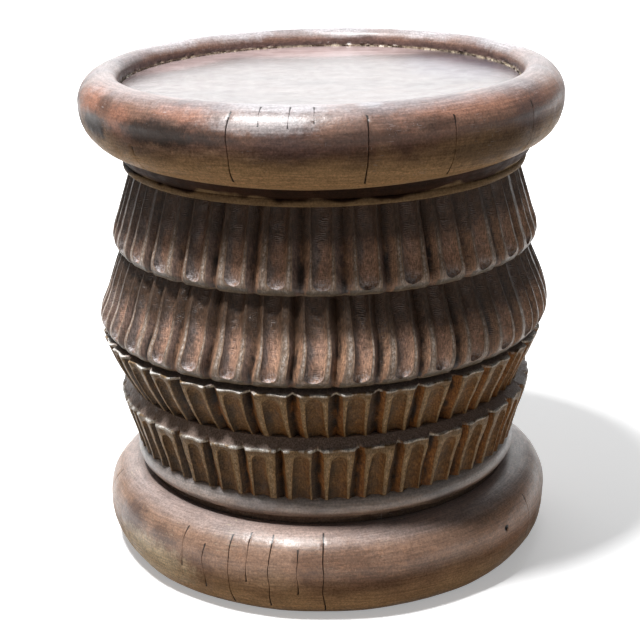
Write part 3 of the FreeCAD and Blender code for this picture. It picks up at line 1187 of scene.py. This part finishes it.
@dataclass
class TopRim(SpunRing):
    """The fat rolled rim with its recess.

    Attributes:
        recess: Radius of the recess wall.
        edge: Radius of the roll into the recess.
        crest: Radius where the rim is highest.
        widest: Height where the rim is widest.
        outer: Largest radius.
        tuck: Radius where the underside meets the neck.
        crown_full: How full the crown is, 2 being a true ellipse.
        belly_full: How full the belly is.
        sag: How much lower the belly hangs at the front.
        tear: How ragged the foot of the recess wall is.
        tear_top: Height where that raggedness ends.
        tear_fade: Over what height it fades out.
        low: Height of its underside, read from the frame.
    """

    skin: float = 213.0
    recess: float = 207.0
    edge: float = 13.0
    crest: float = 219.5
    widest: float = 487.0
    outer: float = 249.3
    tuck: float = 207.0
    crown_full: float = 1.9
    belly_full: float = 2.3
    sag: float = 5.0
    tear: float = 2.4
    tear_top: float = 504.0
    tear_fade: float = 6.0
    low: float = 0.0

    def wander(self, height: float) -> float:
        """The rim stands true."""
        return 0.0

    def carve(self, corner: Corner) -> None:
        """Lets the belly hang lower at the front and tears the foot of the recess wall.

        Args:
            corner: The corner, whose height or radius is changed.
        """
        if corner.radius > self.tuck and corner.height < self.widest:
            front = max(0.0, math.cos(corner.angle - FRONT)) ** 3
            hang = ease((self.widest - corner.height) / (self.widest - self.low))
            corner.height -= self.sag * front * hang
        elif HIDDEN_BORE + 9 < corner.radius < self.recess + 2 and corner.height > self.widest:
            place = Vector((corner.angle * 40, corner.height * 0.4, self.seed))
            fibres = ease((self.tear_top - corner.height) / self.tear_fade)
            corner.radius += self.tear * noise.noise(place) * fibres

    def outline(self) -> list[Point]:
        """Bore, ledge, recess wall, crown and belly.

        Returns:
            The corners in order, in millimetres.
        """
        low, high = self.heights()
        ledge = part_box("top_panel")[0].z / MM
        self.low = low
        foot = (HIDDEN_BORE, low)
        points = [foot, (HIDDEN_BORE, ledge), (self.recess, ledge)]
        points += run((self.recess, ledge), (self.recess, high - self.edge), 2.0)
        points += arc((self.recess + self.edge, high - self.edge), (self.edge, self.edge), 180, 90, 12)
        crown_reach = (self.outer - self.crest, high - self.widest)
        belly_reach = (self.outer - self.tuck, self.widest - low)
        crown = arc((self.crest, self.widest), crown_reach, 90, 0, 30, self.crown_full)
        belly = arc((self.tuck, self.widest), belly_reach, 0, -90, 40, self.belly_full)
        return points + crown + belly[1:]


@dataclass
class BaseRing(SpunRing):
    """The fat ring on the floor.

    Attributes:
        outer: Largest radius.
        widest: Height where it is widest.
        heel: Reach of the curve down to the floor.
        shoulder: Reach of the curve up to the top.
        bore: Radius of the socket.
        pinch: How much flatter its left heel is.
        pinch_azimuth: Degrees from the front to the middle of the flat part.
        pinch_top: Height where the flat part ends.
        pinch_fade: Over what height it fades in below that.
        knot: Azimuth, height and radius of the small hole.
        knot_depth: Its depth.
        drift: How far it stands off along X.
    """

    outer: float = 240.1
    widest: float = 49.4
    heel: float = 27.0
    shoulder: float = 37.5
    bore: float = 150.0
    pinch: float = 1.3
    pinch_azimuth: float = -42.0
    pinch_top: float = 34.0
    pinch_fade: float = 30.0
    knot: Triple = (50.0, 57.0, 3.0)
    knot_depth: float = 4.0
    drift: float = -2.4

    def carve(self, corner: Corner) -> None:
        """Flattens the left heel and sinks the small hole.

        Args:
            corner: The corner, whose radius and mark are changed.
        """
        if corner.radius < self.skin:
            return
        left = math.cos(corner.angle - FRONT - math.radians(self.pinch_azimuth))
        below = ease((self.pinch_top - corner.height) / self.pinch_fade)
        corner.radius -= self.pinch * ease(left * 1.6 - 0.5) * below
        azimuth, height, size = self.knot
        swing = (corner.angle - FRONT - math.radians(azimuth) + math.pi) % (2 * math.pi) - math.pi
        away = math.hypot(swing * corner.radius, corner.height - height) / size
        if away < 1.0:
            corner.radius -= self.knot_depth * (1 - away**2)
            corner.carve = 1.0

    def wander(self, height: float) -> float:
        """The base stands off like the body's foot."""
        return self.drift

    def outline(self) -> list[Point]:
        """Floor face, heel, shoulder and socket.

        Returns:
            The corners in order, in millimetres.
        """
        low, high = self.heights()
        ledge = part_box("barrel_staves")[0].z / MM
        heel = (self.outer - self.heel, self.widest)
        shoulder = (self.outer - self.shoulder, self.widest)
        points = [(self.bore, ledge), (self.bore, low), (heel[0] - 8, low)]
        points += arc(heel, (self.heel, self.widest - low), -90, 0, 40, 2.12)
        points += arc(shoulder, (self.shoulder, high - self.widest), 0, 90, 34)[1:]
        return points + [(HIDDEN_BORE, high), (HIDDEN_BORE, ledge)]


@dataclass
class FootCollar(SpunRing):
    """The bead under the lowest tier, over a shadow groove.

    Attributes:
        groove: Radius of the groove.
        bead: Largest radius of the bead.
        groove_height: Height of the groove.
        droop: How far the bead's fullest part lies below its middle.
    """

    groove: float = 197.3
    bead: float = 206.4
    groove_height: float = 8.0
    droop: float = 1.5

    def outline(self) -> list[Point]:
        """Groove, bead and ledge.

        Returns:
            The corners in order, in millimetres.
        """
        low, high = self.heights()
        lip = low + self.groove_height
        middle = (lip + high) / 2 - self.droop
        points = [(HIDDEN_BORE, low), (self.groove, low), (self.groove, lip)]
        points += arc((self.groove, middle), (self.bead - self.groove, middle - lip), -90, 0, 12)[1:]
        points += arc((self.groove, middle), (self.bead - self.groove, high - middle), 0, 90, 12)[1:]
        return points + [(HIDDEN_BORE, high)]


@dataclass
class NeckCollar(SpunRing):
    """The plain band under the rim.

    Attributes:
        lip: Radius of the lip at its foot.
        lip_height: Height of the lip.
        bulge: Radius halfway up.
        top: Radius at the top.
        rows: How many rows of points the band has.
    """

    lip: float = 208.6
    lip_height: float = 7.5
    bulge: float = 214.0
    top: float = 218.2
    rows: int = 18

    def outline(self) -> list[Point]:
        """A band that leans in to a thin lip, with a shallow groove above the lip.

        Returns:
            The corners in order, in millimetres.
        """
        low, high = self.heights()
        foot = low + self.lip_height
        middle = blend(foot, high, 0.5)
        side = FairCurve((
            (foot, self.lip - 0.8, 0.3), (middle, self.bulge, 0.3), (high, self.top, 0.1),
        ))
        points = [(HIDDEN_BORE, low), (self.lip - 1.0, low)]
        points += arc((self.lip - 1.0, blend(low, foot, 0.5)), (2.0, self.lip_height / 2), -90, 90, 10)
        for index in range(self.rows):
            height = blend(foot, high, index / (self.rows - 1))
            points.append((side.radius(height), height))
        return points + [(HIDDEN_BORE, high)]


@dataclass
class TopPanel(SpunRing):
    """The round board in the recess.

    Attributes:
        radius: Its radius.
        soft: How far its edge is rounded in.
        row: How far apart the rows of points on its face are.
    """

    radius: float = 206.5
    soft: float = 2.0
    row: float = 5.0

    def wander(self, height: float) -> float:
        """The board stands true."""
        return 0.0

    def outline(self) -> list[Point]:
        """A board with a soft edge, from the axis out and back.

        Returns:
            The corners in order, in millimetres.
        """
        low, high = self.heights()
        rounding = (self.radius - self.soft, high)
        points = [(0.0, high)] + run((0.0, high), rounding, self.row) + [rounding]
        points += [(self.radius - self.soft / 4, high - self.soft / 4), (self.radius, high - self.soft)]
        return points + [(self.radius, low), (0.0, low)]


@dataclass(frozen=True)
class PairOfCuts:
    """How one pair of flutes strays from the even spacing, in millimetres and shares.

    Attributes:
        gouge_shift: How far round the stop flute is shifted.
        gouge_share: Its width, as a share of the usual one.
        gouge_depth_share: Its depth, as a share of the usual one.
        stop: How much further from the lip it ends.
        vee_shift: How far round the V flute is shifted.
        vee_share: Its width, as a share of the usual one.
        vee_depth_share: Its depth, as a share of the usual one.
        apex: Where its root lies across it, from 0 to 1.
        lean: How far the stop flute leans from its open end to the lip.
    """

    gouge_shift: float
    gouge_share: float
    gouge_depth_share: float
    stop: float
    vee_shift: float
    vee_share: float
    vee_depth_share: float
    apex: float
    lean: float


@dataclass
class FlutedTier(SpunRing):
    """A tier with stop flutes and V flutes by turns.

    Attributes:
        flare: Which end is the wide one.
        face: The outer face before it is carved.
        turn: Where the first stop flute stands, as a share of a pair.
        lip: Height of the lip or hem.
        open_end: Height where the flutes run out of the tier.
        back: Outline from the lip inwards, to the seat of the next ring.
        pairs: How many pairs of flutes go round it.
        tilt: Rise of the whole lip, and how much more it rises at the right, in millimetres.
        worn_round: Radius of the rubbed round on the lip.
        gouge_half: Half width of a stop flute at the open end and at the lip.
        gouge_depth: Its depth.
        gouge_rest: Depth that is left of it at the lip.
        stop: How far short of the lip it ends.
        round_share: Length of its round end, as a share of its half width.
        past_stop: Over what length its rows of points spread out again past that end.
        vee_half: Half width of a V flute at the open end and at the lip.
        vee_depth: Its depth at the open end and at the lip.
        vee_rise: Over what length it changes to its depth at the lip.
        row: How far apart the rows of points are up the face.
        lip_row: How far apart they are towards the lip.
        lip_zone: How far past the end of the stop flutes that goes.
        back_row: How far apart they are behind it.
        least_land: Least width of the land between two cuts.
        gouge_full: Depth from which a stop flute counts as fully cut.
        vee_full: The same for a V flute.
        cuts: How each pair of cuts strays, drawn from the seed.
    """

    flare: Flare = Flare.UP
    face: FairCurve = field(default_factory=lambda: FairCurve(((0, 0, 0),)))
    turn: float = 0.0
    lip: float = 0.0
    open_end: float = 0.0
    back: tuple[Point, ...] = ()
    pairs: int = 35
    tilt: Point = (0.0, 0.0)
    worn_round: float = 1.0
    gouge_half: Point = (10.0, 9.0)
    gouge_depth: float = 6.0
    gouge_rest: float = 0.5
    stop: float = 7.0
    round_share: float = 0.85
    past_stop: float = 4.0
    vee_half: Point = (8.0, 7.0)
    vee_depth: Point = (7.5, 3.0)
    vee_rise: float = 14.0
    row: float = 2.2
    lip_row: float = 1.0
    lip_zone: float = 12.0
    back_row: float = 1.3
    least_land: float = 0.5
    gouge_full: float = 2.2
    vee_full: float = 3.0
    cuts: list[PairOfCuts] = field(default_factory=list)

    def __post_init__(self) -> None:
        """Draws the unevenness of every pair of cuts."""
        self.columns = self.pairs * PAIR_STEPS
        draw = random.Random(int(self.seed * 100))
        for _ in range(self.pairs):
            self.cuts.append(PairOfCuts(
                gouge_shift=draw.gauss(0, 0.9),
                gouge_share=draw.uniform(0.88, 1.08),
                gouge_depth_share=draw.uniform(0.85, 1.15),
                stop=draw.uniform(-1.5, 2.0),
                vee_shift=draw.gauss(0, 0.9),
                vee_share=draw.uniform(0.85, 1.12),
                vee_depth_share=draw.uniform(0.85, 1.15),
                apex=draw.uniform(0.36, 0.62),
                lean=draw.gauss(0, 0.8),
            ))

    def outline(self) -> list[Point]:
        """The tier's half-section, with close rows at the lip.

        Returns:
            The corners in order, in millimetres.
        """
        rows = []
        fine = self.stop + self.lip_zone
        length = abs(self.lip - self.open_end)
        gone = 0.0
        while gone < length:
            rows.append(self.open_end + self.flare.value * gone)
            gone += self.row if length - gone > fine else self.lip_row
        points = [(HIDDEN_BORE, self.open_end)]
        points += [(self.face.radius(height), height) for height in rows]
        lip = self.face.radius(self.lip)
        rise = self.worn_round * self.flare.value
        points += arc((lip - self.worn_round, self.lip), (self.worn_round, rise), 0, 80, 4)
        for corner in self.back:
            points += run(points[-1], corner, self.back_row) + [corner]
        return points + [(HIDDEN_BORE, points[-1][1])]

    def edges(self, cut: PairOfCuts, travel: float, from_lip: float) -> tuple[float, ...]:
        """Where the cuts of a pair begin and end across the tier.

        Args:
            cut: The pair's unevenness.
            travel: Share of the way from the open end to the lip.
            from_lip: Distance from the lip in millimetres.

        Returns:
            Start and stop of the stop flute, half width and share of depth there,
            and the half width of the V flute.
        """
        half = blend(self.gouge_half[0], self.gouge_half[1], travel) * cut.gouge_share
        stop = self.stop + cut.stop
        round_end = self.round_share * half
        beyond = (stop + round_end - from_lip) / round_end
        deep = 1.0
        squeeze = 1.0
        if beyond > 0:
            deep = math.sqrt(max(0.0, 1 - min(1.0, beyond) ** 2))
            squeeze = max(0.1, deep)
            if beyond > 1:
                squeeze = blend(0.1, 1.0, (stop - from_lip) / self.past_stop)
        shift = cut.gouge_shift + cut.lean * (0.5 - travel)
        vee = blend(self.vee_half[0], self.vee_half[1], travel) * cut.vee_share
        return shift - half * squeeze, shift + half * squeeze, half, deep, vee

    def carve(self, corner: Corner) -> None:
        """Cuts the flutes at one corner.

        Args:
            corner: The corner, whose angle, radius and marks are changed.
        """
        if corner.radius < HIDDEN_BORE + 1:
            return
        pair, step = divmod(corner.column, PAIR_STEPS)
        face = self.face.radius(corner.height)
        from_lip = max(0.0, (self.lip - corner.height) * self.flare.value)
        travel = 1 - from_lip / abs(self.lip - self.open_end)
        corner.along = (self.lip - corner.height) * self.flare.value
        cut, after = self.cuts[pair], self.cuts[(pair + 1) % self.pairs]
        width = 2 * math.pi * face / self.pairs
        low, high, half, deep, vee = self.edges(cut, travel, from_lip)
        next_low = width + self.edges(after, travel, from_lip)[0]
        vee_low = max(width / 2 - vee + cut.vee_shift, high + self.least_land)
        vee_high = min(width / 2 + vee + cut.vee_shift, next_low - self.least_land)
        depth = 0.0
        vee_start = GOUGE_STEPS + LAND_STEPS
        vee_stop = vee_start + VEE_STEPS
        if step <= GOUGE_STEPS:
            corner.across = -math.cos(math.pi * step / GOUGE_STEPS)
            local = blend(low, high, (1 + corner.across) / 2)
            depth = self.gouge_depth * cut.gouge_depth_share * deep
            bend = (self.gouge_half[0] ** 2 + self.gouge_depth**2) / (2 * self.gouge_depth**2)
            reach = corner.across * self.gouge_half[0] / self.gouge_depth
            depth *= math.sqrt(bend**2 - reach**2) + 1 - bend
            corner.carve = min(1.0, depth / self.gouge_full)
        elif step < vee_start:
            local = blend(high, vee_low, (step - GOUGE_STEPS) / LAND_STEPS)
            corner.wear = 1.0
        elif step <= vee_stop:
            share = (step - vee_start) / VEE_STEPS
            flank = 1 - abs(2 * share - 1)
            if share < 0.5:
                share = 2 * share * cut.apex
            else:
                share = cut.apex + (2 * share - 1) * (1 - cut.apex)
            local = blend(vee_low, vee_high, share)
            corner.across = math.copysign(1 - flank, step - vee_start - VEE_STEPS / 2)
            deepest = blend(self.vee_depth[1], self.vee_depth[0], ease(from_lip / self.vee_rise))
            depth = deepest * cut.vee_depth_share * flank
            corner.vee = 1.0 if flank > 0 else 0.0
            corner.carve = min(1.0, depth / self.vee_full)
        else:
            local = blend(vee_high, next_low, (step - vee_stop) / LAND_STEPS)
            corner.wear = 1.0
        spread = abs(local - cut.gouge_shift) / half
        if spread < 1:
            depth = max(depth, self.gouge_rest * (1 - spread**2))
        corner.angle = 2 * math.pi * (pair + self.turn) / self.pairs + local / face
        corner.radius = min(corner.radius, face - depth)
        past = (corner.height - self.lip) / (self.back[-1][1] - self.lip)
        rise = self.tilt[0] + self.tilt[1] * math.cos(corner.angle)
        corner.height += rise * ease(travel) * (1 - min(1.0, max(0.0, past)))


class DrumTable:
    """The whole table, ring by ring from the floor up."""

    def rings(self) -> list[SpunRing]:
        """Every ring of the table with its sizes.

        Returns:
            The rings, lowest first.
        """
        return [
            BaseRing("base_ring", Slot.BASE, BASE_FINISH, 3.1, roughing=1.6, dents=0.2, checks=(
                Check(-38.5, 40, 80, gape=0.4), Check(-32.0, 22, 70, gape=0.5), Check(-25.0, 8, 82),
                Check(-20.0, 40, 84, gape=0.4), Check(-14.6, 12, 84, gape=0.8),
                Check(-7.5, 30, 76, gape=0.4), Check(-1.4, 6, 86, gape=1.0, depth=2.4),
                Check(-80.0, 6, 80), Check(62.0, 12, 74),
                Check(120.0, 12, 80), Check(175.0, 10, 84), Check(-130.0, 10, 78),
            )),
            FootCollar("foot_collar", Slot.COLLAR, COLLAR_FINISH, 5.7, roughing=0.8),
            FlutedTier(
                "lower_cup_tier", Slot.CUP, CUP_FINISH, 7.3, flare=Flare.UP, turn=-0.45,
                open_end=118.0, lip=179.0, tilt=(-3.0, 5.5),
                face=FairCurve(((118.0, 205.0, 0.22), (150.0, 212.8, 0.27), (179.0, 221.3, 0.3))),
                back=((218.0, 181.0), (210.3, 187.0)),
                gouge_half=(9.6, 7.6), gouge_depth=5.5, gouge_rest=1.4, stop=5.0,
                vee_half=(7.6, 5.6), vee_depth=(6.5, 8.0), vee_rise=30.0,
            ),
            FlutedTier(
                "upper_cup_tier", Slot.CUP, CUP_FINISH, 9.9, flare=Flare.UP, turn=0.04,
                open_end=187.0, lip=239.0,
                face=FairCurve(((187.0, 211.0, 0.42), (215.0, 224.5, 0.46), (239.0, 234.6, 0.46))),
                back=((231.5, 240.3), (216.3, 243.0)),
                gouge_half=(9.8, 8.6), gouge_depth=5.8, gouge_rest=2.4, stop=3.5,
                vee_half=(7.8, 7.4), vee_depth=(7.0, 9.5), vee_rise=26.0,
            ),
            FlutedTier(
                "lower_skirt_tier", Slot.SKIRT, SKIRT_FINISH, 12.1, flare=Flare.DOWN, turn=0.0,
                open_end=333.0, lip=247.5,
                face=FairCurve((
                    (247.5, 231.5, 1.1), (260.0, 238.2, 0.08),
                    (284.0, 232.4, -0.33), (333.0, 213.8, -0.38),
                )),
                back=((226.0, 245.5), (216.3, 243.0)),
                gouge_half=(9.8, 9.0), gouge_depth=6.2, gouge_rest=0.5, stop=5.5,
                vee_half=(8.4, 6.8), vee_depth=(8.0, 4.0), vee_rise=16.0,
            ),
            FlutedTier(
                "upper_skirt_tier", Slot.SKIRT, SKIRT_FINISH, 15.4, flare=Flare.DOWN, turn=-0.08,
                pairs=32, open_end=417.0, lip=334.5,
                face=FairCurve((
                    (334.5, 219.0, 0.9), (345.0, 223.2, 0.0),
                    (364.0, 217.9, -0.29), (417.0, 201.6, -0.3),
                )),
                back=((212.0, 333.2), (206.0, 333.0)),
                gouge_half=(9.8, 9.0), gouge_depth=6.0, gouge_rest=0.5, stop=5.0,
                vee_half=(8.6, 7.2), vee_depth=(8.0, 4.0), vee_rise=16.0,
            ),
            NeckCollar("neck_collar", Slot.COLLAR, NECK_FINISH, 18.2, roughing=0.9),
            TopRim("top_rim", Slot.RIM, RIM_FINISH, 21.6, roughing=1.1, dents=0.2, checks=(
                Check(-20.2, 446, 511, gape=0.9, depth=2.4), Check(9.5, 444, 508, gape=1.0, depth=2.6),
                Check(29.0, 444, 502), Check(53.5, 446, 500), Check(-46.0, 444, 470, gape=0.5),
                Check(-13.5, 500, 514, gape=0.3, depth=0.8), Check(-7.0, 498, 514, gape=0.3, depth=0.8),
                Check(-1.8, 502, 514, gape=0.3, depth=0.8), Check(100.0, 448, 506),
                Check(171.0, 460, 512), Check(-140.0, 450, 505),
            )),
            TopPanel("top_panel", Slot.PANEL, BOARD_FINISH, 24.8, roughing=0.0, dents=0.0),
        ]

    def build(self) -> None:
        """Builds every ring and reports it."""
        for ring in self.rings():
            piece = ring.build()
            LOG.info("%s: %d faces", piece.name, len(piece.data.polygons))
        for node in ("barrel_staves", "top_pegs", "base_pegs"):
            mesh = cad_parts[node].data
            mesh.materials.clear()
            mesh.materials.append(finish_material(BARE_FINISH))


@dataclass(frozen=True)
class SoftBox:
    """One soft box that faces the table.

    Attributes:
        name: Its name.
        place: Where it hangs, in metres.
        size: Its width and height in metres.
        power: Its power in watts.
    """

    name: str
    place: Triple
    size: Point
    power: float

    def hang(self, target: Vector) -> None:
        """Hangs the soft box.

        Args:
            target: The point that it faces.
        """
        data = bpy.data.lights.new(self.name, "AREA")
        data.shape = "RECTANGLE"
        data.size, data.size_y = self.size
        data.energy = self.power
        lamp = bpy.data.objects.new(self.name, data)
        lamp.location = self.place
        lamp.rotation_euler = (Vector(self.place) - target).to_track_quat("Z", "Y").to_euler()
        bpy.context.scene.collection.objects.link(lamp)


@dataclass(frozen=True)
class Studio:
    """Floor, lights and the camera at the photograph's viewing angle.

    Attributes:
        camera_x: Place of the camera along X, in metres.
        camera_distance: Its distance in front of the axis, in metres.
        camera_height: Its height in metres.
        focal_pixels: Focal length, in pixels of the picture.
        frame_pixels: Width of the picture in pixels.
        sensor: Width of the camera's sensor in millimetres.
        yaw: How far the camera turns to the right, in degrees.
        pitch: How far it looks down, in degrees.
        roll: How far it tips over, in degrees.
        aim: The point that the soft boxes face.
        boxes: The soft boxes.
        sky: Colour of the surround.
        fill: Strength of the surround.
        floor_tone: The floor as it is seen, also in reflections.
        floor_bounce: The floor as it throws light back at the table.
        floor_glow: How much of the floor's own white is left next to the table.
        floor_fade: Distances from the axis between which that grows to all of it.
        floor_half: Half the width of the floor in metres.
    """

    camera_x: float = -0.0025
    camera_distance: float = 1.594
    camera_height: float = 0.7933
    focal_pixels: float = 1556.0
    frame_pixels: float = 640.0
    sensor: float = 36.0
    yaw: float = -0.14
    pitch: float = 19.33
    roll: float = -1.32
    aim: Triple = (0.0, 0.0, 0.3)
    boxes: tuple[SoftBox, ...] = (
        SoftBox("key", (-0.66, -0.63, 3.0), (0.36, 0.36), 122.0),
        SoftBox("back", (0.0, 2.9, 1.3), (4.2, 1.9), 42.0),
        SoftBox("top", (0.0, 1.1, 2.7), (1.9, 1.0), 14.0),
    )
    sky: tuple[float, float, float, float] = (0.86, 0.93, 1.0, 1.0)
    fill: float = 0.09
    floor_tone: Tone = (250, 250, 250)
    floor_bounce: Tone = (138, 123, 104)
    floor_glow: float = 0.35
    floor_fade: Point = (0.3, 1.8)
    floor_half: float = 20.0

    def place_camera(self) -> None:
        """Creates the camera and makes it the scene's own."""
        yaw, pitch, roll = (math.radians(angle) for angle in (self.yaw, self.pitch, self.roll))
        ahead = math.cos(pitch)
        forward = Vector((math.sin(yaw) * ahead, math.cos(yaw) * ahead, -math.sin(pitch)))
        right = Vector((math.cos(yaw), -math.sin(yaw), 0.0))
        up = right.cross(forward)
        right, up = (
            right * math.cos(roll) + up * math.sin(roll),
            up * math.cos(roll) - right * math.sin(roll),
        )
        data = bpy.data.cameras.new("viewpoint")
        data.sensor_width = self.sensor
        data.lens = self.focal_pixels / self.frame_pixels * self.sensor
        camera = bpy.data.objects.new("viewpoint", data)
        turn = Matrix((right, up, -forward)).transposed().to_4x4()
        camera.matrix_world = Matrix.Translation(
            (self.camera_x, -self.camera_distance, self.camera_height)) @ turn
        bpy.context.scene.collection.objects.link(camera)
        bpy.context.scene.camera = camera

    def light(self) -> None:
        """Soft boxes and a pale surround."""
        world = bpy.data.worlds.new("surround")
        world.use_nodes = True
        surround = world.node_tree.nodes["Background"].inputs
        surround["Color"].default_value = self.sky
        surround["Strength"].default_value = self.fill
        bpy.context.scene.world = world
        for box in self.boxes:
            box.hang(Vector(self.aim))

    def lay_floor(self) -> None:
        """A plain pale floor."""
        bm = bmesh.new()
        bmesh.ops.create_grid(bm, x_segments=2, y_segments=2, size=self.floor_half)
        mesh = bpy.data.meshes.new("floor")
        bm.to_mesh(mesh)
        bm.free()
        mesh.materials.append(self.floor_material())
        floor = bpy.data.objects.new("floor", mesh)
        bpy.context.scene.collection.objects.link(floor)

    def floor_material(self) -> bpy.types.Material:
        """White for the camera and in reflections, and duller where it throws light back.

        Returns:
            The material.
        """
        sheet = NodeSheet("floor_paper")
        rays = sheet.add("ShaderNodeLightPath").outputs
        seen = sheet.calc("MAXIMUM", rays["Is Camera Ray"], rays["Is Glossy Ray"])
        seen = sheet.calc("MAXIMUM", seen, rays["Is Transmission Ray"])
        lift = sheet.fade(sheet.length(sheet.place), *self.floor_fade, self.floor_glow, 1.0)
        return sheet.dress({
            "Base Color": sheet.mix(seen, self.floor_bounce, self.floor_tone),
            "Roughness": 0.9,
            "Specular IOR Level": 0.1,
            "Emission Color": (1.0, 1.0, 1.0, 1.0),
            "Emission Strength": sheet.times(seen, lift),
        })

    def build(self) -> None:
        """Sets up the whole studio."""
        bpy.context.scene.view_settings.view_transform = "Standard"
        self.lay_floor()
        self.light()
        self.place_camera()


def main() -> None:
    """Builds the table and its studio."""
    logging.basicConfig(level=logging.INFO, format="%(name)s %(message)s")
    DrumTable().build()
    Studio().build()


if __name__ == "__main__":
    main()
